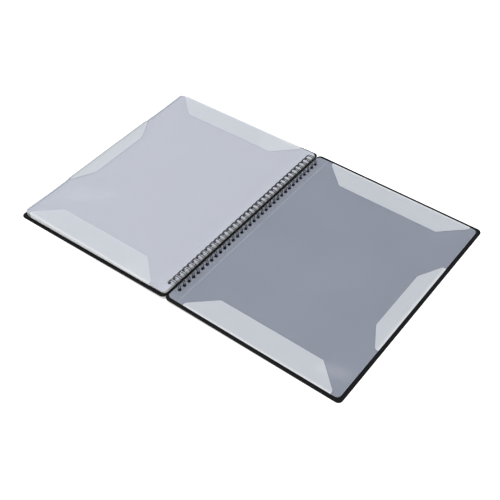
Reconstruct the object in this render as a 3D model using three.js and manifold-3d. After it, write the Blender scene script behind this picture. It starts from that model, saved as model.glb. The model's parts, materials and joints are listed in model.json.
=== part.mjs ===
// Wire-bound music folder, lying open: two plastic covers, the film sleeves between them and the
// twin-loop wire that they all turn on. Millimetres, +Z up. +Y runs along the wire, away from the
// reader. The origin is on the table, under the middle of the wire.

import * as THREE from 'three';
import { mergeVertices } from 'three/addons/utils/BufferGeometryUtils.js';
import Module from 'manifold-3d';

const wasm = await Module();
wasm.setup();

// Wire binding
const loopPitch = 25.4 / 3; // three loops to the inch
const loopCount = 34;
const wireDiameter = 1.1;
const wireSides = 5;
const ringRadius = 8.2; // of the wire's centre line
const loopWidth = 2.6; // between the two wires of one loop
const footRadius = 1.2; // where a loop bends into the straight piece between two loops
const tipGap = 1.6; // left open where a loop's tip comes round to its own foot
const ringSteps = 10; // straight steps that one turn of the wire is drawn with

// Covers
const coverWidth = 245;
const coverLength = 320;
const coverThickness = 1.4;
const coverCornerRadius = 6;
const spineGap = 1.0; // between the two covers' spine edges
const coverDrop = 3.9; // the cover's middle plane hangs this far below the wire's axis

// Holes for the wire, in covers and sleeves alike
const holeDiameter = 4.5;
const holeSides = 8;

// Film sleeves
const leafGap = 0.3; // between two pieces that lie on each other
const filmThickness = 0.5;
const sleeveCornerRadius = 5;
const sleeveSpineInset = 1.4; // from the cover's spine edge to the sleeve's
const sleeveOuterInset = 4.9; // from the cover's outer edge to the sleeve's
const sleeveFrontInset = 4.7; // from the cover's front end to the sleeve's
const sleeveBackInset = 4.2;
const pocketGap = 0.4; // under a folded flap, where the music slides in
const creaseInset = 15.5; // from the sleeve's spine edge to the score line that it turns at
const creaseWidth = 0.8;
const creaseDepth = 0.2;

// Flaps of a sleeve. An end flap is folded over at the front and at the back, the side flap at the
// outer edge. Each has short square shoulders at its fold, rounded, and slanted sides.
const endFlapDepth = 32;
const endFlapSpineInset = 24;
const endFlapOuterInset = 10;
const endFlapRun = 30.8; // how far a slanted side runs along the fold
const sideFlapDepth = 21.2;
const sideFlapFrontInset = 78.5;
const sideFlapBackInset = 80;
const sideFlapRun = 30.5;
const shoulder = 4;
const shoulderRadius = 3;
const foldSteps = 4;

// The turned sleeves on the left lie as one stack, which their flaps make thicker away from the wire
const stackSpineHeight = 2.2;
const stackOuterHeight = 6.4;
const stackShift = 1.2; // further out than the sleeve on the right: it rides higher on the wire

// Worked out from the sizes above
// The wire is drawn in straight steps, whose corners stand as far outside its round as their middles
// stand inside it
const stationRadius = (ringRadius * 2) / (1 + Math.cos(Math.PI / ringSteps));
const axisHeight = stationRadius + wireDiameter / 2;
const coverBottom = -coverDrop - coverThickness / 2;
const coverTop = coverBottom + coverThickness;
const sleeveBottom = coverTop + leafGap;
const coverSpineEdge = spineGap / 2;
const coverOuterEdge = coverSpineEdge + coverWidth;
const sleeveSpineEdge = coverSpineEdge + sleeveSpineInset;
const sleeveWidth = coverWidth - sleeveSpineInset - sleeveOuterInset;
const sleeveOuterEdge = sleeveSpineEdge + sleeveWidth;
const sleeveLength = coverLength - sleeveFrontInset - sleeveBackInset;
const sleeveMiddle = (sleeveFrontInset - sleeveBackInset) / 2; // along the wire
const foldRadius = filmThickness + pocketGap / 2;
// The wire's lowest line and both covers' outer edges lie on the table, so each side slopes a little
const sideSlope = Math.asin(axisHeight / Math.hypot(coverOuterEdge, coverBottom))
  - Math.atan2(-coverBottom, coverOuterEdge);
const stackSlope = Math.atan2(stackOuterHeight - stackSpineHeight, sleeveWidth);
const throughCut = 50; // longer than anything that it cuts through

const blackPlastic = { color: 0x17191c, roughness: 0.55, metalness: 0.0 };
const blackWire = { color: 0x141518, roughness: 0.3, metalness: 0.2 };
const clearFilm = {
  color: 0xc3c8d4, roughness: 0.45, metalness: 0.0, transparent: true, opacity: 0.6,
};

// Solids, joined and cut

function solid(geometry) {
  const bare = geometry.clone();
  bare.deleteAttribute('normal');
  bare.deleteAttribute('uv');
  const merged = mergeVertices(bare, 1e-5);
  return new wasm.Manifold(new wasm.Mesh({
    numProp: 3,
    vertProperties: new Float32Array(merged.attributes.position.array),
    triVerts: new Uint32Array(merged.index.array),
  }));
}

function geometryOf(body) {
  const mesh = body.getMesh();
  const geometry = new THREE.BufferGeometry();
  geometry.setAttribute('position', new THREE.BufferAttribute(mesh.vertProperties, 3));
  geometry.setIndex(new THREE.BufferAttribute(mesh.triVerts, 1));
  geometry.computeVertexNormals();
  return geometry;
}

function meshOf(name, geometry, finish) {
  const mesh = new THREE.Mesh(geometry, new THREE.MeshStandardMaterial(finish));
  mesh.name = name;
  return mesh;
}

function slab(shape, bottom, top, curveSegments = 4) {
  const geometry = new THREE.ExtrudeGeometry(shape, {
    depth: top - bottom,
    bevelEnabled: false,
    curveSegments,
  });
  return geometry.translate(0, 0, bottom);
}

// A rectangle from x0 to x1 with round corners, its length centred on Y = 0
function roundedOutline(x0, x1, length, radius) {
  const half = length / 2;
  const shape = new THREE.Shape();
  shape.moveTo(x0 + radius, -half);
  shape.lineTo(x1 - radius, -half);
  shape.absarc(x1 - radius, -half + radius, radius, -Math.PI / 2, 0);
  shape.lineTo(x1, half - radius);
  shape.absarc(x1 - radius, half - radius, radius, 0, Math.PI / 2);
  shape.lineTo(x0 + radius, half);
  shape.absarc(x0 + radius, half - radius, radius, Math.PI / 2, Math.PI);
  shape.lineTo(x0, -half + radius);
  shape.absarc(x0 + radius, -half + radius, radius, Math.PI, Math.PI * 1.5);
  return shape;
}

// Places along the wire

function loopMiddle(index) {
  return (index - (loopCount - 1) / 2) * loopPitch;
}

// How far out the wire stands from its axis where it passes a leaf at this height
function ringReach(height) {
  return Math.sqrt(ringRadius ** 2 - height ** 2);
}

// The row of holes for the wire through a leaf that lies between two heights
function holeRow(bottom, top) {
  const x = (ringReach(bottom) + ringReach(top)) / 2;
  const cornerRadius = holeDiameter / 2 / Math.cos(Math.PI / holeSides);
  let row = null;
  for (let index = 0; index < loopCount; index += 1) {
    const drill = new THREE.CylinderGeometry(cornerRadius, cornerRadius, throughCut, holeSides)
      .rotateX(Math.PI / 2)
      .rotateZ(Math.PI / holeSides)
      .translate(x, loopMiddle(index), 0);
    row = row ? row.add(solid(drill)) : solid(drill);
  }
  return row;
}

// Covers

function coverBody() {
  const outline = roundedOutline(coverSpineEdge, coverOuterEdge, coverLength, coverCornerRadius);
  return solid(slab(outline, coverBottom, coverTop)).subtract(holeRow(coverBottom, coverTop));
}

// Sleeves

// One flap with its fold. The fold lies on the X axis from 0 to length, and the flap reaches depth
// towards +Y. Height 0 is the underside of the sleeve's base sheet.
function flapBody(length, depth, run) {
  const flapTop = filmThickness * 2 + pocketGap;
  const section = new THREE.Shape();
  section.moveTo(depth, flapTop);
  section.lineTo(0, flapTop);
  section.absarc(0, foldRadius, foldRadius, Math.PI / 2, Math.PI * 1.5);
  section.lineTo(filmThickness * 2, 0);
  section.lineTo(filmThickness * 2, filmThickness);
  section.lineTo(0, filmThickness);
  section.absarc(0, foldRadius, pocketGap / 2, Math.PI * 1.5, Math.PI / 2, true);
  section.lineTo(depth, filmThickness + pocketGap);
  // The section is drawn with its Y in height: it is stood up and run along the fold
  const folded = new THREE.ExtrudeGeometry(section, {
    depth: length,
    bevelEnabled: false,
    curveSegments: foldSteps,
  }).applyMatrix4(new THREE.Matrix4().makeBasis(
    new THREE.Vector3(0, 1, 0),
    new THREE.Vector3(0, 0, 1),
    new THREE.Vector3(1, 0, 0),
  ));
  const slant = (depth - shoulder) / run;
  const lead = shoulderRadius * 0.6;
  const outline = new THREE.Shape();
  outline.moveTo(0, -foldRadius * 2);
  outline.lineTo(length, -foldRadius * 2);
  outline.lineTo(length, shoulder - shoulderRadius);
  outline.quadraticCurveTo(length, shoulder, length - lead, shoulder + lead * slant);
  outline.lineTo(length - run, depth);
  outline.lineTo(run, depth);
  outline.lineTo(lead, shoulder + lead * slant);
  outline.quadraticCurveTo(0, shoulder, 0, shoulder - shoulderRadius);
  return solid(folded).intersect(solid(slab(outline, -foldRadius, flapTop + foldRadius)));
}

function place(body, turn, x, y) {
  const geometry = geometryOf(body);
  geometry.rotateZ(turn);
  geometry.translate(x, y, 0);
  return solid(geometry);
}

// A sleeve whose underside is at height 0: its base sheet, score line and three flaps
function sleeveSheet() {
  const half = sleeveLength / 2;
  const sheet = roundedOutline(sleeveSpineEdge, sleeveOuterEdge, sleeveLength, sleeveCornerRadius);
  const endStart = sleeveSpineEdge + endFlapSpineInset;
  const endStop = sleeveOuterEdge - endFlapOuterInset;
  const endFlap = flapBody(endStop - endStart, endFlapDepth, endFlapRun);
  const sideLength = sleeveLength - sideFlapFrontInset - sideFlapBackInset;
  const sideFlap = flapBody(sideLength, sideFlapDepth, sideFlapRun);
  const crease = new THREE.BoxGeometry(creaseWidth, coverLength, creaseDepth * 2)
    .translate(sleeveSpineEdge + creaseInset, 0, filmThickness);
  return solid(slab(sheet, 0, filmThickness))
    .subtract(solid(crease))
    .add(place(endFlap, 0, endStart, -half))
    .add(place(endFlap, Math.PI, endStop, half))
    .add(place(sideFlap, Math.PI / 2, sleeveOuterEdge, -half + sideFlapFrontInset));
}

function rightSleeveBody() {
  const sheet = solid(geometryOf(sleeveSheet()).translate(0, sleeveMiddle, sleeveBottom));
  return sheet.subtract(holeRow(sleeveBottom, sleeveBottom + filmThickness));
}

// The stack under the uppermost sleeve is a wedge, and that sleeve lies on it at its slope
function leftStackBody() {
  const outline = roundedOutline(sleeveSpineEdge, sleeveOuterEdge, sleeveLength, sleeveCornerRadius);
  const bite = filmThickness / 2; // the uppermost sleeve is one with the stack by this much
  const wedge = new THREE.Shape();
  wedge.moveTo(sleeveSpineEdge - 1, 0);
  wedge.lineTo(sleeveOuterEdge + 1, 0);
  wedge.lineTo(sleeveOuterEdge + 1, stackOuterHeight + Math.tan(stackSlope));
  wedge.lineTo(sleeveSpineEdge - 1, stackSpineHeight - Math.tan(stackSlope));
  const wedgeGeometry = new THREE.ExtrudeGeometry(wedge, { depth: coverLength, bevelEnabled: false })
    .rotateX(Math.PI / 2)
    .translate(0, coverLength / 2, 0);
  const lower = solid(slab(outline, -1, stackOuterHeight * 2)).intersect(solid(wedgeGeometry));
  const topSheet = geometryOf(sleeveSheet())
    .translate(-sleeveSpineEdge, 0, stackSpineHeight - bite)
    .rotateY(-stackSlope)
    .translate(sleeveSpineEdge, 0, 0);
  const stack = solid(geometryOf(lower.add(solid(topSheet)))
    .translate(stackShift, sleeveMiddle, sleeveBottom));
  const top = sleeveBottom + stackSpineHeight + filmThickness;
  return stack.subtract(holeRow(sleeveBottom, top));
}

// The left side is the right side seen in a mirror
function mirrored(body) {
  const geometry = geometryOf(body).scale(-1, 1, 1);
  const index = geometry.index.array;
  for (let corner = 0; corner < index.length; corner += 3) {
    [index[corner], index[corner + 1]] = [index[corner + 1], index[corner]];
  }
  geometry.computeVertexNormals();
  return geometry;
}

// Wire binding

// A path that is given by its stations, and sampled exactly there
class StationPath extends THREE.Curve {
  constructor(stations) {
    super();
    this.stations = stations;
  }

  getPoint(t, target = new THREE.Vector3()) {
    const last = this.stations.length - 1;
    const along = Math.min(Math.max(t, 0), 1) * last;
    const index = Math.min(Math.floor(along), last - 1);
    return target.lerpVectors(this.stations[index], this.stations[index + 1], along - index);
  }

  getPointAt(u, target) {
    return this.getPoint(u, target);
  }

  getTangentAt(u, target) {
    return this.getTangent(u, target);
  }
}

// A point of the wire from its way round the ring, in millimetres from the foot, and its place along Y
function onRing(way, y) {
  const angle = -Math.PI / 2 - way / ringRadius;
  return new THREE.Vector3(stationRadius * Math.cos(angle), y, stationRadius * Math.sin(angle));
}

// One wire zigzags along the whole spine: up a loop, round its tip, down again and on to the next
function wireStations() {
  const half = loopWidth / 2;
  const wayToTip = Math.PI * 2 * ringRadius - tipGap;
  const straight = wayToTip - half - footRadius;
  const stations = [];
  for (let index = 0; index < loopCount; index += 1) {
    const middle = loopMiddle(index);
    for (const side of [-1, 1]) {
      const ring = [];
      const corner = footRadius * (1 - Math.SQRT1_2);
      ring.push(onRing(0, middle + side * (half + footRadius)));
      ring.push(onRing(corner, middle + side * (half + corner)));
      for (let step = 0; step <= ringSteps; step += 1) {
        ring.push(onRing(footRadius + (straight * step) / ringSteps, middle + side * half));
      }
      ring.push(onRing(wayToTip - corner, middle + (side * half) / 2));
      if (side > 0) {
        ring.reverse();
      }
      stations.push(...ring);
    }
  }
  return stations;
}

function wireGeometry() {
  const section = new THREE.Shape();
  for (let index = 0; index < wireSides; index += 1) {
    const angle = (index / wireSides) * Math.PI * 2;
    const x = (wireDiameter / 2) * Math.cos(angle);
    const y = (wireDiameter / 2) * Math.sin(angle);
    if (index === 0) {
      section.moveTo(x, y);
    } else {
      section.lineTo(x, y);
    }
  }
  const stations = wireStations();
  const extrudePath = new StationPath(stations);
  return new THREE.ExtrudeGeometry(section, { steps: stations.length - 1, extrudePath });
}

// The scene: both sides hang on the wire's axis and slope down to the table

const folder = new THREE.Group();
const binding = new THREE.Group();
binding.position.z = axisHeight;
folder.add(binding);

const rightSide = new THREE.Group();
rightSide.rotation.y = sideSlope;
binding.add(rightSide);

const leftSide = new THREE.Group();
leftSide.rotation.y = -sideSlope;
binding.add(leftSide);

binding.add(meshOf('wire_binding', wireGeometry(), blackWire));
rightSide.add(meshOf('back_cover', geometryOf(coverBody()), blackPlastic));
rightSide.add(meshOf('right_sleeve', geometryOf(rightSleeveBody()), clearFilm));
leftSide.add(meshOf('front_cover', mirrored(coverBody()), blackPlastic));
leftSide.add(meshOf('left_sleeves', mirrored(leftStackBody()), clearFilm));

export default folder;
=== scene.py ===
# %% [markdown]
# A music folder lies open. Two black plastic covers and the film sleeves between them turn on one
# black twin-loop wire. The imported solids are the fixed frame, right in size and place but plain.
# Every piece here is a finer mesh of the same form, made round them, in metres, with +Y along the
# wire and +X over the right-hand cover.

# %% Load the frame
import json
import math

import bmesh
import bpy
from mathutils import Matrix, Quaternion, Vector


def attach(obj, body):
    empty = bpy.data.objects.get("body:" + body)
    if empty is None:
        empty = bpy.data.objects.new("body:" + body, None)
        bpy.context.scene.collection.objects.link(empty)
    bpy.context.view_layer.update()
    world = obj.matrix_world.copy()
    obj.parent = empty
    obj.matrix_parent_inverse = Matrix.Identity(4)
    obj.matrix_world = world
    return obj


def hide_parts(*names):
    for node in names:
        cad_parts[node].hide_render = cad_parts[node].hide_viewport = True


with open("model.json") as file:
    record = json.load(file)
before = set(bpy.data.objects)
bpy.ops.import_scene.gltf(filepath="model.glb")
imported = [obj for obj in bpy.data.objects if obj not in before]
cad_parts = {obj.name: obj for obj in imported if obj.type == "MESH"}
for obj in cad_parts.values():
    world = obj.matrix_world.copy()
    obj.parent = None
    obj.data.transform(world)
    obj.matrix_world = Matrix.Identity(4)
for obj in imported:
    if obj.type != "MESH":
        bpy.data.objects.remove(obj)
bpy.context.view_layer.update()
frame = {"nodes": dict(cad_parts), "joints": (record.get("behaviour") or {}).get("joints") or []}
MM = 0.001
print("nodes:", sorted(frame["nodes"]))

# %% [markdown]
# The photograph was taken from above the near right-hand side with a short telephoto lens. The
# covers' corners and the row of holes gave the eye's place and its three angles. A Track To
# constraint could aim the camera, but it leaves no room for the slight roll that the photograph
# has. A quaternion holds the way it looks, and the roll is one more turn round its own axis.

# %% Camera
FOCAL_PIXELS = 887.6
IMAGE_PIXELS = 500
SENSOR = 36.0
EYE = Vector((0.5128, -0.6287, 0.7798))
AZIMUTH = math.radians(39.06)
ELEVATION = math.radians(45.55)
ROLL = math.radians(-2.2)


def direction(azimuth, elevation):
    """The way from the object to a viewer at these angles."""
    level = math.cos(elevation)
    return Vector((math.sin(azimuth) * level, -math.cos(azimuth) * level, math.sin(elevation)))


camera = bpy.data.objects.new("camera", bpy.data.cameras.new("camera"))
bpy.context.scene.collection.objects.link(camera)
camera.data.sensor_width = SENSOR
camera.data.lens = FOCAL_PIXELS / IMAGE_PIXELS * SENSOR
camera.location = EYE
camera.rotation_mode = "QUATERNION"
level_view = (-direction(AZIMUTH, ELEVATION)).to_track_quat("-Z", "Y")
camera.rotation_quaternion = level_view @ Quaternion((0, 0, 1), ROLL)
bpy.context.scene.camera = camera
print("lens:", round(camera.data.lens, 2), "mm")

# %% [markdown]
# Materials are node graphs. They could be wired up one node at a time, but then the sum that a
# graph stands for is hard to read. Value wraps a socket, so that an expression such as 1 - mask
# adds its own Math nodes, and Material.node adds any other node from its type, its settings and
# what goes into its sockets.


# %% Values
class Value:
    """A number that varies over a surface: sums and products on it become Math nodes."""

    def __init__(self, material, socket):
        self.material = material
        self.socket = socket

    def sibling(self, name):
        """Another output of the same node."""
        return Value(self.material, self.socket.node.outputs[name])

    def math(self, operation, first, second):
        return self.material.node("ShaderNodeMath", {"operation": operation}, {0: first, 1: second})

    def __abs__(self):
        return self.math("ABSOLUTE", self, 0.0)

    def __add__(self, other):
        return self.math("ADD", self, other)

    def __radd__(self, other):
        return self.math("ADD", other, self)

    def __sub__(self, other):
        return self.math("SUBTRACT", self, other)

    def __rsub__(self, other):
        return self.math("SUBTRACT", other, self)

    def __mul__(self, other):
        return self.math("MULTIPLY", self, other)

    def __rmul__(self, other):
        return self.math("MULTIPLY", other, self)


print("operators on a value:", "abs, +, - and *")


# %% Materials
class Material:
    """A new material with its Principled shader, and the one method that adds a node."""

    def __init__(self, name, **sockets):
        self.data = bpy.data.materials.new(name)
        self.data.use_nodes = True
        self.tree = self.data.node_tree
        self.shader = self.tree.nodes["Principled BSDF"]
        for socket, value in sockets.items():
            self.set(socket.replace("_", " "), value)

    def connect(self, value, socket):
        """Links a value that varies, and writes down one that doesn't."""
        if isinstance(value, Value):
            self.tree.links.new(value.socket, socket)
        else:
            socket.default_value = value

    def set(self, name, value):
        self.connect(value, self.shader.inputs[name])

    def node(self, kind, settings=None, sockets=None, output=0):
        made = self.tree.nodes.new(kind)
        for name, value in (settings or {}).items():
            setattr(made, name, value)
        for name, value in (sockets or {}).items():
            self.connect(value, made.inputs[name])
        return Value(self, made.outputs[output])

    def place(self):
        return self.node("ShaderNodeTexCoord", output="Object")

    def noise(self, size, detail=2.0, roughness=0.5, stretch=(1, 1, 1)):
        """Noise from 0 to 1 whose patches are about this size, in metres."""
        spread = self.node("ShaderNodeMapping", sockets={"Vector": self.place(), "Scale": stretch})
        settings = {"Vector": spread, "Scale": 1 / size, "Detail": detail, "Roughness": roughness}
        return self.node("ShaderNodeTexNoise", sockets=settings)

    def mix(self, factor, first, second):
        """A colour between two, by a factor."""
        sockets = {"Factor": factor, 6: first, 7: second}
        return self.node("ShaderNodeMix", {"data_type": "RGBA"}, sockets, output=2)

    def attribute(self, name):
        return self.node("ShaderNodeAttribute", {"attribute_name": name}, output="Fac")

    def bump(self, height, depth):
        sockets = {"Height": height, "Distance": depth, "Strength": 1.0}
        self.set("Normal", self.node("ShaderNodeBump", sockets=sockets))

    def report(self):
        print(self.data.name + ":", len(self.tree.nodes), "nodes")


# %% [markdown]
# The covers are polypropylene sheet, 1.4 mm thick, with a fine matt grain that is rolled into the
# sheet as it is made. The grain is far too fine to model, so a fine noise makes it in the bump.
# A broad faint noise keeps the black from being one flat tone, as handling does on the real one.

# %% Cover plastic
COVER_BLACK = (0.0035, 0.0038, 0.0046, 1)
COVER_WORN = (0.0065, 0.007, 0.0082, 1)
COVER_ROUGHNESS = 0.46
HANDLED_PATCH = 60 * MM
HANDLED_COLOUR = 0.8
HANDLED_ROUGHNESS = 0.14
GRAIN_SIZE = 0.45 * MM
GRAIN_DEPTH = 0.03 * MM

cover_plastic = Material("black_grained_plastic", Specular_IOR_Level=0.08)
handled = cover_plastic.noise(HANDLED_PATCH, detail=3.0, roughness=0.6)
grain = cover_plastic.noise(GRAIN_SIZE, roughness=0.6)
black = cover_plastic.mix(handled * HANDLED_COLOUR, COVER_BLACK, COVER_WORN)
cover_plastic.set("Base Color", black)
cover_plastic.set("Roughness", COVER_ROUGHNESS + handled * HANDLED_ROUGHNESS)
cover_plastic.bump(grain, GRAIN_DEPTH)
cover_plastic.report()

# %% [markdown]
# The wire is steel in a black nylon coat. A metal shader with a dark tint would look like bare
# blackened steel. The coat is plastic, so it is a black dielectric like the covers, but smoother
# and without their grain: the nylon flowed on hot, and only its drops make the gloss uneven.

# %% Coated wire
WIRE_BLACK = (0.004, 0.0043, 0.005, 1)
COAT_ROUGHNESS = 0.26
DROP_SIZE = 2.5 * MM
DROP_ROUGHNESS = 0.12
DROP_DEPTH = 0.01 * MM

wire_coat = Material("black_coated_wire", Base_Color=WIRE_BLACK, Specular_IOR_Level=0.22)
coat_drops = wire_coat.noise(DROP_SIZE)
wire_coat.set("Roughness", COAT_ROUGHNESS + coat_drops * DROP_ROUGHNESS)
wire_coat.bump(coat_drops, DROP_DEPTH)
wire_coat.report()

# %% [markdown]
# The film is frosted polypropylene: it scatters part of the light and lets the rest through, so
# the cover's black shows as grey, and a folded flap, being one layer more, looks whiter. Rough
# transmission could do this, but it is slow, noisy and lost when the model is exported. Here each
# face is an opaque frost with an alpha, which hides a share of what lies behind it. The mesh says
# where the film differs, in three attributes: flap for the layer on top, whitening for plastic
# that a crease or a cut has turned white and for painted light, a lighter strip by the holes and
# painted highlights along soft bends, and rim for the grey look of a stack's outer edge.

# %% Frosted film
FILM_WHITE_AND_PAINTED_LIGHT = (0.94, 0.96, 0.98, 1)
RIM_GREY = (0.33, 0.35, 0.38, 1)
FILM_ROUGHNESS = 0.36
FROST_SIZE = 0.5 * MM
FROST_ROUGHNESS = 0.1
FROST_DEPTH = 0.012 * MM
DRAWN_WIDTH = 14 * MM
DRAWN_STRETCH = (1, 0.12, 1)
DRAWN_ROUGHNESS = 0.08


def film_material(name, colour, flap_colour):
    """Frosted film of one colour, with a fine frost and the faint lines that it was drawn with."""
    film = Material(name, Specular_IOR_Level=0.3)
    frost = film.noise(FROST_SIZE, detail=3.0, roughness=0.7)
    drawn = film.noise(DRAWN_WIDTH, stretch=DRAWN_STRETCH)
    plain = film.mix(film.attribute("flap"), colour, flap_colour)
    # The white mixed in here is whitened film, and also the painted light of the strip by the holes
    # and the painted highlights of the soft bends.
    whitened_and_painted_light = film.mix(film.attribute("whitening_and_painted_light"), plain, FILM_WHITE_AND_PAINTED_LIGHT)
    film.set("Base Color", film.mix(film.attribute("rim"), whitened_and_painted_light, RIM_GREY))
    film.set("Roughness", FILM_ROUGHNESS + frost * FROST_ROUGHNESS + drawn * DRAWN_ROUGHNESS)
    film.bump(frost, FROST_DEPTH)
    return film


# %% Clear film
FILM_COLOUR = (0.71, 0.77, 0.93, 1)
FLAP_COLOUR = (0.81, 0.845, 0.9, 1)
PAGE_COVER = 0.225
FLAP_COVER = 0.46
WHITE_AND_PAINTED_LIGHT_COVER = 0.25
RIM_COVER = 0.35
CLOUD_PATCH = 90 * MM
CLOUD_COVER = 0.05

clear_film = film_material("frosted_film", FILM_COLOUR, FLAP_COLOUR)
cloud = (clear_film.noise(CLOUD_PATCH) - 0.5) * CLOUD_COVER
opacity = PAGE_COVER + clear_film.attribute("flap") * (FLAP_COVER - PAGE_COVER) + cloud
# The same value makes the film more opaque where it is whitened and where light is painted on it.
opacity += clear_film.attribute("whitening_and_painted_light") * WHITE_AND_PAINTED_LIGHT_COVER
opacity += clear_film.attribute("rim") * RIM_COVER
clear_film.set("Alpha", opacity)
clear_film.report()

# %% [markdown]
# The lower sleeves of the left-hand stack are seen only through the one on top of them. They could
# have an alpha too, but a ray would then cross more than twenty faces of film. Together they hide
# the cover, so one milky tone stands for the light that comes back out of the stack.

# %% Stacked film
STACKED_COLOUR = (0.52, 0.51, 0.505, 1)
STACKED_FLAP = (0.71, 0.71, 0.69, 1)

stacked_film = film_material("stacked_film", STACKED_COLOUR, STACKED_FLAP)
stacked_film.report()

# %% [markdown]
# Both sides hang on the wire's axis and slope down to the table. Modelling on the slope would
# make every number awkward, so a piece is modelled flat, with the axis as its origin, X outwards
# from the wire and Z up, and then put in place by one matrix. The left side is the mirror of the
# right one, so its faces are turned round again.

# %% Places
AXIS = Vector(frame["joints"][0]["pos_m"])
SPINE_GAP = 1.0 * MM
COVER_WIDTH = 245 * MM
COVER_BOTTOM = -4.6 * MM
COVER_OUTER = SPINE_GAP / 2 + COVER_WIDTH
SIDE_SLOPE = math.asin(AXIS.z / math.hypot(COVER_OUTER, COVER_BOTTOM)) - math.atan2(
    -COVER_BOTTOM, COVER_OUTER)


def side_matrix(left):
    """Carries a flat piece to its side of the wire."""
    turn = Matrix.Rotation(-SIDE_SLOPE if left else SIDE_SLOPE, 4, "Y")
    mirror = Matrix.Scale(-1, 4, (1, 0, 0)) if left else Matrix.Identity(4)
    return Matrix.Translation(AXIS) @ turn @ mirror


print("slope of each side:", round(math.degrees(SIDE_SLOPE), 3), "degrees")

# %% [markdown]
# Every piece is finished in the same way: its bmesh becomes an object, its modifiers are applied,
# and its mesh moves to its place while the object stays at the origin. Shading is smooth over
# small steps of angle and sharp at real edges. A large face is left flat, because smooth shading
# would spread the tilt of the narrow bevel beside it over the whole face.

# %% Finishing
SMOOTH_ANGLE = math.radians(35)
FLAT_AREA = 100 * MM * MM


def new_object(name, mesh_maker, material):
    """Turns a bmesh into a linked object with one material."""
    mesh = bpy.data.meshes.new(name)
    mesh_maker.to_mesh(mesh)
    mesh_maker.free()
    made = bpy.data.objects.new(name, mesh)
    bpy.context.scene.collection.objects.link(made)
    mesh.materials.append(material.data)
    return made


def applied(made):
    """Replaces an object's mesh by what its modifiers make of it, and takes them off."""
    graph = bpy.context.evaluated_depsgraph_get()
    finished = bpy.data.meshes.new_from_object(made.evaluated_get(graph))
    made.modifiers.clear()
    made.data = finished
    return made


def put_in_place(made, matrix):
    """Moves the mesh, turns its faces outwards again after a mirror, and smooths what is round."""
    made.data.transform(matrix)
    if matrix.determinant() < 0:
        made.data.flip_normals()
    made.data.shade_smooth()
    made.data.set_sharp_from_angle(angle=SMOOTH_ANGLE)
    for face in made.data.polygons:
        if face.area > FLAT_AREA:
            face.use_smooth = False
    print(made.name + ":", len(made.data.polygons), "faces")
    return made


# %% [markdown]
# Twin-loop wire starts as a flat comb: one wire is bent to and fro into long narrow loops, three
# to the inch, and the comb is then rolled to a ring. Its loops stop just short of their feet. The
# mesh is made in the same order, because every bend of the comb lies in one plane.

# %% Wire sizes
LOOP_PITCH = 25.4 / 3 * MM
LOOP_COUNT = 34
WIRE_RADIUS = 0.5 * MM
RING_RADIUS = 8.2 * MM
LOOP_HALF = 1.3 * MM
FOOT_RADIUS = 1.2 * MM
TIP_GAP = 1.6 * MM
WAY_TO_TIP = 2 * math.pi * RING_RADIUS - TIP_GAP


def loop_middle(index):
    """How far along the wire's axis a loop has its middle."""
    return (index - (LOOP_COUNT - 1) / 2) * LOOP_PITCH


print("from foot to tip:", round(WAY_TO_TIP / MM, 2), "mm")


# %% [markdown]
# A curve with a round bevel could follow the comb, but its tube twists and pinches at tight bends.
# Here the wire's round section is pulled along the straights by extrude_edge_only and carried
# round the bends by spin, as a bending machine does it, so that every section stays round.

# %% Wire bending
def extruded(comb, section, step, times=1):
    """Pulls the section on in straight steps and returns the last one."""
    for _ in range(times):
        grown = bmesh.ops.extrude_edge_only(comb, edges=section)["geom"]
        moved = [part for part in grown if isinstance(part, bmesh.types.BMVert)]
        section = [part for part in grown if isinstance(part, bmesh.types.BMEdge)]
        bmesh.ops.translate(comb, verts=moved, vec=step)
    return section


def bent(comb, section, centre, angle, steps):
    """Spins the section round an upright axis and returns the last one."""
    # A dict drops repeats as a set does, but keeps their order.
    corners = list(dict.fromkeys(corner for edge in section for corner in edge.verts))
    spun = bmesh.ops.spin(comb, geom=corners + section, cent=centre, axis=(0, 0, 1),
                          angle=angle, steps=steps, use_duplicate=False)
    return [part for part in spun["geom_last"] if isinstance(part, bmesh.types.BMEdge)]


# %% One loop
SECTION_SIDES = 10
RING_STEPS = 44
BEND_STEPS = 5


def flat_loop():
    """One loop of the comb and half a straight on each side of it, open at both ends."""
    loop = bmesh.new()
    stand = Matrix.Translation((0, -LOOP_PITCH / 2, 0)) @ Matrix.Rotation(-math.pi / 2, 4, "X")
    ring = bmesh.ops.create_circle(loop, segments=SECTION_SIDES, radius=WIRE_RADIUS, matrix=stand)
    section = list(dict.fromkeys(edge for corner in ring["verts"] for edge in corner.link_edges))
    foot = Vector((0, LOOP_PITCH / 2 - LOOP_HALF - FOOT_RADIUS, 0))
    tip = WAY_TO_TIP - LOOP_HALF
    ahead = Vector(((tip - FOOT_RADIUS) / RING_STEPS, 0, 0))
    turn_in = (FOOT_RADIUS, -LOOP_HALF - FOOT_RADIUS, 0)
    turn_out = (FOOT_RADIUS, LOOP_HALF + FOOT_RADIUS, 0)
    section = extruded(loop, section, foot)
    section = bent(loop, section, turn_in, -math.pi / 2, BEND_STEPS)
    section = extruded(loop, section, ahead, RING_STEPS)
    section = bent(loop, section, (tip, 0, 0), math.pi, BEND_STEPS * 2)
    section = extruded(loop, section, -ahead, RING_STEPS)
    section = bent(loop, section, turn_out, -math.pi / 2, BEND_STEPS)
    extruded(loop, section, foot)
    return loop


# %% Flat comb
WELD = 0.01 * MM


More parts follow.
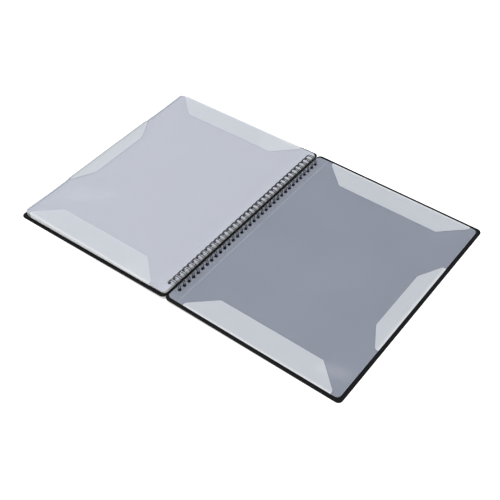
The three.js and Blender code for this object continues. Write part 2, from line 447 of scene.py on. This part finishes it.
def flat_comb():
    """All the loops side by side, welded where they meet and closed at the two cut ends."""
    comb = flat_loop()
    first = comb.verts[:] + comb.edges[:] + comb.faces[:]
    for index in range(1, LOOP_COUNT):
        copied = bmesh.ops.duplicate(comb, geom=first)["geom"]
        moved = [part for part in copied if isinstance(part, bmesh.types.BMVert)]
        bmesh.ops.translate(comb, verts=moved, vec=(0, index * LOOP_PITCH, 0))
    bmesh.ops.remove_doubles(comb, verts=comb.verts, dist=WELD)
    bmesh.ops.holes_fill(comb, edges=comb.edges[:], sides=SECTION_SIDES)
    bmesh.ops.translate(comb, verts=comb.verts, vec=(0, loop_middle(0), 0))
    return comb


comb = flat_comb()
print("comb:", len(comb.verts), "vertices")

# %% [markdown]
# On the real folder the comb is rolled shut in a press once the leaves are on it. A Simple Deform
# modifier could bend it, but it needs its own origin and an exact angle. Rolling is only a change
# from a way along the comb to an angle round the ring, so each vertex is moved by that formula.


# %% Rolled wire
def roll(comb):
    """Rolls the comb round the wire's axis, from its foot at the bottom over the left side."""
    for corner in comb.verts:
        angle = -math.pi / 2 - corner.co.x / RING_RADIUS
        reach = RING_RADIUS + corner.co.z
        corner.co = Vector((reach * math.cos(angle), corner.co.y, reach * math.sin(angle)))


roll(comb)
bmesh.ops.recalc_face_normals(comb, faces=comb.faces)
wire = put_in_place(new_object("twin_loop_wire", comb, wire_coat), Matrix.Translation(AXIS))
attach(wire, "wire")
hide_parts("wire_binding")

# %% [markdown]
# Every leaf is punched along its spine edge with round holes, which the loops pass through. The
# holes could be drawn into each outline, but a punch works on any leaf, flat or folded. One comb
# of punches cuts them all at a time: a Boolean modifier takes it out of each cover and sleeve.

# %% Punches
HOLE_RADIUS = 2.25 * MM
HOLE_SIDES = 20
PUNCH_LENGTH = 30 * MM


def punches(height):
    """The row of punches for a leaf at this height, where the ring passes it."""
    reach = math.sqrt(RING_RADIUS ** 2 - height ** 2)
    row = bmesh.new()
    for index in range(LOOP_COUNT):
        bmesh.ops.create_cone(row, cap_ends=True, segments=HOLE_SIDES, radius1=HOLE_RADIUS,
                              radius2=HOLE_RADIUS, depth=PUNCH_LENGTH,
                              matrix=Matrix.Translation((reach, loop_middle(index), height)))
    return new_object("punches", row, cover_plastic)


def punched(made, height, shift=(0, 0, 0)):
    """Cuts the row of holes for a leaf at this height, moved by a shift, through an object."""
    cutter = punches(height)
    cutter.data.transform(Matrix.Translation(shift))
    cut = made.modifiers.new("holes", "BOOLEAN")
    cut.operation = "DIFFERENCE"
    cut.solver = "EXACT"
    cut.object = cutter
    applied(made)
    bpy.data.objects.remove(cutter)
    return made


# %% [markdown]
# A cover is die-cut from sheet: a rectangle with round corners. The bmesh starts as one flat face,
# a vertex bevel rounds its corners, an extrusion gives the thickness, and a second small bevel
# breaks the cut edge, which catches a thin line of light on the real one. A Bevel modifier would
# round the rims of the holes as well, and the die leaves those sharp.

# %% Flat sheet
CORNER_STEPS = 10


def rounded_sheet(x0, x1, length, radius, height):
    """A flat rectangle with round corners, as one face."""
    sheet = bmesh.new()
    bmesh.ops.create_grid(sheet, x_segments=1, y_segments=1, size=0.5)
    bmesh.ops.scale(sheet, verts=sheet.verts, vec=(x1 - x0, length, 1))
    bmesh.ops.translate(sheet, verts=sheet.verts, vec=((x0 + x1) / 2, 0, height))
    bmesh.ops.bevel(sheet, geom=sheet.verts[:], offset=radius, offset_type="OFFSET",
                    affect="VERTICES", segments=CORNER_STEPS, profile=0.5, material=-1)
    return sheet


# %% Covers
COVER_LENGTH = 320 * MM
COVER_THICKNESS = 1.4 * MM
COVER_CORNER = 6 * MM
CUT_EDGE_ANGLE = math.radians(60)
EDGE_BREAK = 0.12 * MM


def cover(name, node, left):
    """A cover in place. The body that it rides on has its node's name."""
    sheet = rounded_sheet(SPINE_GAP / 2, COVER_OUTER, COVER_LENGTH, COVER_CORNER, COVER_BOTTOM)
    raised = bmesh.ops.extrude_face_region(sheet, geom=sheet.faces[:])["geom"]
    top = [part for part in raised if isinstance(part, bmesh.types.BMVert)]
    bmesh.ops.translate(sheet, verts=top, vec=(0, 0, COVER_THICKNESS))
    bmesh.ops.recalc_face_normals(sheet, faces=sheet.faces)
    rims = [edge for edge in sheet.edges if edge.calc_face_angle() > CUT_EDGE_ANGLE]
    bmesh.ops.bevel(sheet, geom=rims, offset=EDGE_BREAK, affect="EDGES", segments=2,
                    profile=0.5, material=-1)
    made = new_object(name, sheet, cover_plastic)
    punched(made, COVER_BOTTOM + COVER_THICKNESS / 2)
    put_in_place(made, side_matrix(left))
    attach(made, node)
    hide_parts(node)


cover("grained_back_cover", "back_cover", left=False)
cover("grained_front_cover", "front_cover", left=True)

# %% [markdown]
# A sleeve is one blank of film: a page with a flap at its front, back and outer edge, each folded
# over so that its pocket holds a sheet of music. A score line beside the holes lets it turn. The
# blank could be modelled folded, layer by layer, but a flat one has one outline and one thickness
# all over, and the real one is cut and punched flat too. So the sizes here are those of the blank.

# %% Sleeve sizes
FILM_THICKNESS = 0.25 * MM
SLEEVE_SPINE = SPINE_GAP / 2 + 1.4 * MM
SLEEVE_OUTER = COVER_OUTER - 4.9 * MM
SLEEVE_WIDTH = SLEEVE_OUTER - SLEEVE_SPINE
FRONT_INSET = 4.7 * MM
BACK_INSET = 4.2 * MM
SLEEVE_LENGTH = COVER_LENGTH - FRONT_INSET - BACK_INSET
SLEEVE_MIDDLE = (FRONT_INSET - BACK_INSET) / 2
SLEEVE_HEIGHT = -2.95 * MM
SLEEVE_CORNER = 5 * MM
HALF_LENGTH = SLEEVE_LENGTH / 2
SCORE = SLEEVE_SPINE + 15.5 * MM
SCORE_HALF = 0.8 * MM
print("page:", round(SLEEVE_WIDTH / MM, 1), "by", round(SLEEVE_LENGTH / MM, 1), "mm")

# %% Flap sizes
FOLD_RADIUS = 0.24 * MM
FOLD_LENGTH = math.pi * FOLD_RADIUS
END_FLAP = {"depth": 32 * MM, "run": 30.8 * MM}
END_START = SLEEVE_SPINE + 24 * MM
END_STOP = SLEEVE_OUTER - 10 * MM
SIDE_FLAP = {"depth": 21.2 * MM, "run": 30.5 * MM}
SIDE_START = -HALF_LENGTH + 78.5 * MM
SIDE_STOP = HALF_LENGTH - 80 * MM
SHOULDER = 4 * MM
SHOULDER_RADIUS = 2 * MM
TIP_RADIUS = 1.5 * MM
FLAP_CORNER_STEPS = 5


def add_flap(blank, start, stop, place, depth, run):
    """Adds a flap as one face on the page's edge from start to stop, with its corners rounded.
    place turns a way along the fold, and a distance beyond it, into a point."""
    corners = [(start, 0), (start, SHOULDER), (start + run, depth),
               (stop - run, depth), (stop, SHOULDER), (stop, 0)]
    ring = [blank.verts.new(place(along, out + FOLD_LENGTH if out else 0))
            for along, out in corners]
    blank.faces.new(ring)
    radii = (SHOULDER_RADIUS, TIP_RADIUS, TIP_RADIUS, SHOULDER_RADIUS)
    for corner, radius in zip(ring[1:5], radii):
        bmesh.ops.bevel(blank, geom=[corner], offset=radius, affect="VERTICES",
                        segments=FLAP_CORNER_STEPS, profile=0.5, material=-1)


print("end flap:", round((END_STOP - END_START) / MM, 1), "mm along its fold")

# %% [markdown]
# A flat face can't bend, so the blank needs lines to bend at: close ones in each fold, and a wide
# grid for the soft waves. subdivide_edges would cut only along the outline's own corners. Instead
# bisect_plane lays each line straight across the whole blank, exactly where the fold wants it.

# %% Fold and grid lines
GRID_STEP = 3.5 * MM
FOLD_STEPS = 6
FOLD_FADE = 0.8 * MM
FLAP_FADE = 3.5 * MM
ON_LINE = 1e-7


def lay_line(blank, place, normal):
    whole = blank.verts[:] + blank.edges[:] + blank.faces[:]
    bmesh.ops.bisect_plane(blank, geom=whole, plane_co=place, plane_no=normal, dist=ON_LINE)


def steps_between(low, high, step):
    """Even places from low to high, about a step apart."""
    count = max(1, round((high - low) / step))
    return [low + (high - low) * index / count for index in range(count + 1)]


def fold_lines(edge, depth):
    """The lines that a fold and its flap need, outwards from the page's edge."""
    bend = [edge + FOLD_LENGTH * index / FOLD_STEPS for index in range(FOLD_STEPS + 1)]
    beyond = steps_between(FOLD_LENGTH + FLAP_FADE + GRID_STEP, depth, GRID_STEP)
    fades = [bend[-1] + FOLD_FADE, bend[-1] + FLAP_FADE]
    return [edge - FOLD_FADE, *bend, *fades, *[edge + line for line in beyond]]


print("lines in an end fold and its flap:", len(fold_lines(HALF_LENGTH, END_FLAP["depth"])))

# %% [markdown]
# Now the blank is cut: the page and its three flaps, their lines, and a Solidify modifier for the
# thickness of the film. Its holes are punched where the wire's loops are, and the page lies a
# little off the middle of them, as its front border is wider than its back one. Every sleeve is a
# copy of this one blank.

# %% Flat blank
SNAP = 0.001 * MM


def flat_blank():
    blank = rounded_sheet(SLEEVE_SPINE, SLEEVE_OUTER, SLEEVE_LENGTH, SLEEVE_CORNER, 0)
    add_flap(blank, END_START, END_STOP, lambda along, out: (along, -HALF_LENGTH - out, 0),
             **END_FLAP)
    add_flap(blank, END_START, END_STOP, lambda along, out: (along, HALF_LENGTH + out, 0),
             **END_FLAP)
    add_flap(blank, SIDE_START, SIDE_STOP, lambda along, out: (SLEEVE_OUTER + out, along, 0),
             **SIDE_FLAP)
    lines_in_x = [SCORE - SCORE_HALF, SCORE, SCORE + SCORE_HALF, END_START, END_STOP]
    lines_in_x += fold_lines(SLEEVE_OUTER, SIDE_FLAP["depth"])
    lines_in_x += steps_between(SCORE + GRID_STEP, SLEEVE_OUTER - GRID_STEP, GRID_STEP)
    ends = fold_lines(HALF_LENGTH, END_FLAP["depth"])
    lines_in_y = [SIDE_START, SIDE_STOP] + ends + [-line for line in ends]
    lines_in_y += steps_between(-HALF_LENGTH + GRID_STEP, HALF_LENGTH - GRID_STEP, GRID_STEP)
    for line in lines_in_x:
        lay_line(blank, (line, 0, 0), (1, 0, 0))
    for line in lines_in_y:
        lay_line(blank, (0, line, 0), (0, 1, 0))
    bmesh.ops.remove_doubles(blank, verts=blank.verts, dist=SNAP)
    bmesh.ops.recalc_face_normals(blank, faces=blank.faces)
    return blank


sleeve_blank = new_object("sleeve_blank", flat_blank(), clear_film)
wall = sleeve_blank.modifiers.new("film", "SOLIDIFY")
wall.thickness = FILM_THICKNESS
wall.offset = 0
applied(sleeve_blank)
punched(sleeve_blank, SLEEVE_HEIGHT, (0, -SLEEVE_MIDDLE, -SLEEVE_HEIGHT))
print("blank:", len(sleeve_blank.data.polygons), "faces")

# %% [markdown]
# Folded film goes white where it was bent or cut, and the eye reads the folds by those fine light
# lines. They could be painted as a texture on a UV map. The lines already lie in the mesh, so each
# vertex holds how white it is, and the colour fades to the next line by itself. The same value
# holds painted light too: the strip by the holes of the turned sleeves is painted lighter against
# the shade cast there, and the soft bends get a painted highlight.

# %% Whitening and painted light
FOLD_WHITE = 0.9
FLAP_WHITE = 0.55
EDGE_WHITE = 0.4
SCORE_WHITE = 0.3


def whitened_and_painted_light(x, y, strip_painted_light):
    """How white the film has gone here, and the painted light given to the strip that has the
    holes.
    """
    end = abs(y) - HALF_LENGTH
    side = x - SLEEVE_OUTER
    beyond = max(end, side)
    by_end_flap = abs(end) < FOLD_LENGTH + SNAP and END_START < x < END_STOP
    by_side_flap = abs(side) < FOLD_LENGTH + SNAP and SIDE_START < y < SIDE_STOP
    if -SNAP < beyond < FOLD_LENGTH + SNAP and (by_end_flap or by_side_flap):
        return FOLD_WHITE
    if SNAP < beyond < FOLD_LENGTH + FOLD_FADE + SNAP:
        return FLAP_WHITE
    if abs(beyond) < SNAP:
        return EDGE_WHITE
    if abs(x - SCORE) < SNAP:
        return SCORE_WHITE
    # The strip by the holes is not whitened film: its value is painted light against the shade that
    # the wire and the stacked leaves cast there.
    return strip_painted_light if x < SCORE - SCORE_HALF - SNAP else 0.0


print("whitening at the score line:", whitened_and_painted_light(SCORE, 0, 0.0))

# %% [markdown]
# Folding is a change of place only: what lies beyond a fold line is rolled round the fold's small
# radius and laid back over the page, with its free edge sinking on to it. A cloth simulation could
# fold it too, but film this stiff keeps its creases just where they were pressed. Each vertex also
# notes whether it is flap, and whether it belongs to the outer edge, which looks grey in a stack.

# %% Folding
FLAP_REST = 0.03 * MM
FLAP_SINK = 2 * FOLD_RADIUS - FILM_THICKNESS - FLAP_REST


def folded(beyond, height, depth):
    """Where a point beyond a fold goes: how far out from the page's edge, and how high."""
    if beyond < FOLD_LENGTH:
        turn = beyond / FOLD_RADIUS
        reach = FOLD_RADIUS - height
        return reach * math.sin(turn), FOLD_RADIUS - reach * math.cos(turn)
    inward = beyond - FOLD_LENGTH
    return -inward, 2 * FOLD_RADIUS - height - FLAP_SINK * (inward / depth) ** 2


def fold_flaps(blank, rim_grey, strip_painted_light):
    """Rolls the three flaps over, and notes on each vertex what it is."""
    whitening_and_painted_light = blank.verts.layers.float.new("whitening_and_painted_light")
    flap = blank.verts.layers.float.new("flap")
    rim = blank.verts.layers.float.new("rim")
    for corner in blank.verts:
        x, y, z = corner.co
        end = abs(y) - HALF_LENGTH
        side = x - SLEEVE_OUTER
        corner[whitening_and_painted_light] = whitened_and_painted_light(x, y, strip_painted_light)
        corner[flap] = 1.0 if max(end, side) > SNAP else 0.0
        if -FOLD_FADE - SNAP < side < FOLD_LENGTH + FOLD_FADE + SNAP:
            corner[rim] = rim_grey
        if end > SNAP:
            out, height = folded(end, z, END_FLAP["depth"])
            corner.co = Vector((x, math.copysign(HALF_LENGTH + out, y), height))
        elif side > SNAP:
            out, height = folded(side, z, SIDE_FLAP["depth"])
            corner.co = Vector((SLEEVE_OUTER + out, y, height))


# %% [markdown]
# Film never lies dead flat. It carries long shallow waves, which the light finds at a low angle,
# sags a little between the flaps and curls up at its free corner. Noise could displace it, but it
# knows nothing of flaps and corners. A smooth function of the place lifts each vertex instead, and
# fades out towards the wire, which holds the film.

# %% Waves
WAVE_RAMP = 60 * MM
WAVE_ACROSS = 31 * MM
WAVE_ALONG = 44 * MM
WAVE_SLANTING = 57 * MM
ALONG_LAG = 1.3
SLANTING_LAG = 2.1
SLANTING_SHARE = 0.4


def smooth_step(value):
    """From 0 to 1 without a corner at either end."""
    limited = min(max(value, 0.0), 1.0)
    return limited * limited * (3 - 2 * limited)


def wave(x, y, amount, phase):
    """Long shallow waves that fade out towards the wire."""
    held = smooth_step((x - SCORE) / WAVE_RAMP)
    crossed = math.sin(x / WAVE_ACROSS + phase) * math.sin(y / WAVE_ALONG + ALONG_LAG * phase)
    slanting = math.sin((x + y) / WAVE_SLANTING + SLANTING_LAG * phase)
    return amount * held * ((1 - SLANTING_SHARE) * crossed + SLANTING_SHARE * slanting)


# %% Sag and curl
EDGE_BAND = 45 * MM
SAG_START = 72 * MM
SAG_RUN = 80 * MM
CURL_RUN = 70 * MM


def edge_sag(x, y, amount):
    """The outer edge sinks between the side flap and each corner, where no fold stiffens it."""
    outer = smooth_step((x - SLEEVE_OUTER + EDGE_BAND) / EDGE_BAND)
    share = min(max((abs(y) - SAG_START) / SAG_RUN, 0.0), 1.0)
    return -amount * outer * math.sin(math.pi * share)


def corner_curl(x, y, amount):
    """The corner that fingers turn the sleeve by stands up a little."""
    outer = smooth_step((x - SLEEVE_OUTER + CURL_RUN) / CURL_RUN)
    near = smooth_step((-y - HALF_LENGTH + CURL_RUN) / CURL_RUN)
    return amount * outer * near


print("sag half way along its run:", round(edge_sag(SLEEVE_OUTER, SAG_START + SAG_RUN / 2, 1.0), 2))

# %% [markdown]
# Handling leaves soft bends near the outer edge: low ridges. Each is given by its two ends, in
# millimetres across and along the page. Its height falls off like a bell to both sides, so it shows
# no edge of its own. Along each ridge the film is painted a little whiter: a painted highlight.

# %% Soft bends
BOW_WIDTH = 8 * MM
BOW_FADE = 0.4
BOW_HEIGHT = 0.3 * MM
# How much whiter the ridge of a soft bend is painted: a painted highlight, not whitened film.
BOW_PAINTED_HIGHLIGHT = 0.2


def bow(x, y, line):
    """1 along the bend's line, and 0 beyond its sides and ends."""
    start, end = Vector(line[0]) * MM, Vector(line[1]) * MM
    run = end - start
    offset = Vector((x, y)) - start
    along = offset.dot(run) / run.length_squared
    across = (offset - run * along).length / BOW_WIDTH
    held = smooth_step(along / BOW_FADE) * smooth_step((1 - along) / BOW_FADE)
    return math.exp(-across * across) * held


# %% [markdown]
# A sleeve is now a copy of the blank, folded, lifted to the place where it rests and slipped a
# little, as its holes leave it some play. Only its form and its film differ from its neighbours',
# so one function makes them all.

# %% One sleeve
STACK_RIM = 0.8
# The turned sleeves' strip by the holes is painted lighter: painted light that lifts the shade the
# wire and the stacked leaves cast on it.
STRIP_PAINTED_LIGHT = 0.25


def sleeve(name, body, material, left, rest, form):
    """One folded sleeve. rest is its height at the spine and the rise to its outer edge."""
    blank = bmesh.new()
    blank.from_mesh(sleeve_blank.data)
    fold_flaps(blank, STACK_RIM if left else 0.0, STRIP_PAINTED_LIGHT if left else 0.0)
    whitening_and_painted_light = blank.verts.layers.float["whitening_and_painted_light"]
    low, rise = rest
    slip_x, slip_y = form["slip"]
    for corner in blank.verts:
        x, y, _ = corner.co
        lifted = low + rise * (x - SLEEVE_SPINE) / SLEEVE_WIDTH
        lifted += wave(x, y, form["wave"], form["phase"])
        lifted += edge_sag(x, y, form["sag"])
        lifted += corner_curl(x, y, form["curl"])
        bent_here = sum(bow(x, y, line) for line in form["bows"])
        lifted += BOW_HEIGHT * bent_here
        # The ridge of a soft bend also gets a painted highlight in the film's colour and alpha.
        corner[whitening_and_painted_light] = max(corner[whitening_and_painted_light], BOW_PAINTED_HIGHLIGHT * bent_here)
        corner.co += Vector((slip_x, slip_y + SLEEVE_MIDDLE, lifted))
    made = put_in_place(new_object(name, blank, material), side_matrix(left))
    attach(made, body)
    return made


# %% [markdown]
# The right-hand sleeve lies on the back cover alone. It is nearly flat, because the stiff cover is
# right below it, and it has one soft bend near the front corner.

# %% Right-hand sleeve
right_form = {"wave": 0.12 * MM, "phase": 0.4, "sag": 0, "curl": 0.3 * MM, "slip": (0, 0),
              "bows": [((190, -138), (244, -120))]}
right_sleeve = sleeve("right_film_sleeve", "right_sleeve", clear_film, False,
                      (SLEEVE_HEIGHT, 0), right_form)
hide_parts("right_sleeve")

# %% [markdown]
# The turned sleeves lie on each other on the left. Their flaps make each one thickest at its outer
# edge, so the stack rises outwards, and the ring pulls the upper ones a little away from the wire.
# One solid wedge would have the right outline, but its edge would show no leaves. Each sleeve here
# has its own place, play and form, and the more of them lie below it, the looser it lies.

# %% Lower sleeves of the stack
STACK_COUNT = 6
TOP_AT_SPINE = 2.1 * MM
TOP_RISE = 4.2 * MM
STACK_SHIFT = 1.2 * MM
PLAY_ACROSS = 0.15 * MM
PLAY_ALONG = 0.1 * MM
PLAY_TURN = 2.4
LEAF_WAVE = 0.05 * MM
LEAF_PHASE = 0.9
LEAF_SAG = 0.5 * MM
LEAF_CURL = 0.8 * MM


def leaf_form(index, part_up):
    """How a lower sleeve lies: loosely, and a little out of line."""
    turn = PLAY_TURN * index
    slip = (STACK_SHIFT * part_up + PLAY_ACROSS * math.sin(turn), PLAY_ALONG * math.cos(turn))
    return {"wave": LEAF_WAVE, "phase": LEAF_PHASE + index, "sag": LEAF_SAG * part_up,
            "curl": LEAF_CURL * part_up, "bows": [], "slip": slip}


for index in range(STACK_COUNT - 1):
    part_up = index / (STACK_COUNT - 1)
    rest = (SLEEVE_HEIGHT + TOP_AT_SPINE * part_up, TOP_RISE * part_up)
    sleeve(f"left_sleeve_{index + 1}", "left_sleeves", stacked_film, True, rest,
           leaf_form(index, part_up))

# %% Top sleeve of the stack
top_form = {"wave": 0.3 * MM, "phase": 3.9, "sag": 0.7 * MM, "curl": 1.1 * MM,
            "slip": (STACK_SHIFT, PLAY_ALONG),
            "bows": [((222, -118), (152, -50)), ((234, -116), (190, -64))]}
top_sleeve = sleeve("left_top_sleeve", "left_sleeves", clear_film, True,
                    (SLEEVE_HEIGHT + TOP_AT_SPINE, TOP_RISE), top_form)
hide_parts("left_sleeves")
bpy.data.objects.remove(sleeve_blank)

# %% [markdown]
# The folder lies on white in even light. More lamps would whiten the floor, but the folder too.
# Instead Light Path adds the white only for what the camera sees, directly, in a reflection or
# through a clear material, so that no extra light falls on the folder.


# %% What shows as background
def seen(holder):
    """1 for a ray that shows the background: from the camera, a reflection or a clear material."""
    path = holder.node("ShaderNodeLightPath", output="Is Camera Ray")
    total = path + path.sibling("Is Glossy Ray") + path.sibling("Is Transmission Ray")
    return total.math("MINIMUM", total, 1.0)


# %% [markdown]
# The floor takes soft light and keeps the folder's shadow. It doesn't glow under the open folder,
# where no light gets to it, and the glow starts again just inside the folder's outline.

# %% Floor
FLOOR_SIZE = 12.0
FLOOR_DIFFUSE = (0.88, 0.88, 0.88, 1)
FLOOR_GLOW = 0.75
GLOW_EDGE = 8 * MM

floor_white = Material("white_floor", Base_Color=FLOOR_DIFFUSE, Roughness=0.9,
                       Specular_IOR_Level=0.0, Emission_Color=(1, 1, 1, 1))
place_x = floor_white.node("ShaderNodeSeparateXYZ", sockets={"Vector": floor_white.place()})
sideways = abs(place_x) - COVER_OUTER
lengthways = abs(place_x.sibling("Y")) - COVER_LENGTH / 2
outside = sideways.math("MAXIMUM", sideways, lengthways)
open_floor = floor_white.node("ShaderNodeMapRange", {"clamp": True},
                              {"Value": outside, "From Min": -GLOW_EDGE, "From Max": 0.0})
floor_white.set("Emission Strength", seen(floor_white) * open_floor * FLOOR_GLOW)
ground = bmesh.new()
bmesh.ops.create_grid(ground, x_segments=1, y_segments=1, size=FLOOR_SIZE / 2)
new_object("floor", ground, floor_white)
floor_white.report()

# %% [markdown]
# The light is what a white studio tent gives: nearly the same from every side, and a little
# stronger from one large lamp, high up and beyond the left-hand side. The tent is the world's
# plain colour, and the lamp is what lifts the folds off the page.

# %% Sky
SKY = 0.62


class Studio(Material):
    """The world's node tree, with the same helpers as a material."""

    def __init__(self, holder):
        holder.use_nodes = True
        self.data = holder
        self.tree = holder.node_tree
        self.shader = self.tree.nodes["Background"]


world = bpy.data.worlds.new("studio")
bpy.context.scene.world = world
studio = Studio(world)
studio.set("Color", (1, 1, 1, 1))
studio.set("Strength", seen(studio) * (1.0 - SKY) + SKY)
studio.report()

# %% Lamp
KEY = {"size": 1.2, "power": 56.0, "azimuth": -70.0, "elevation": 76.0, "distance": 3.5}

lamp = bpy.data.lights.new("soft_key", "AREA")
lamp.size = KEY["size"]
lamp.energy = KEY["power"]
key = bpy.data.objects.new("soft_key", lamp)
bpy.context.scene.collection.objects.link(key)
toward = direction(math.radians(KEY["azimuth"]), math.radians(KEY["elevation"]))
key.location = toward * KEY["distance"]
key.rotation_mode = "QUATERNION"
key.rotation_quaternion = (-toward).to_track_quat("-Z", "Y")
bpy.context.scene.view_settings.view_transform = "Standard"
print("lamp at:", [round(part, 2) for part in key.location])
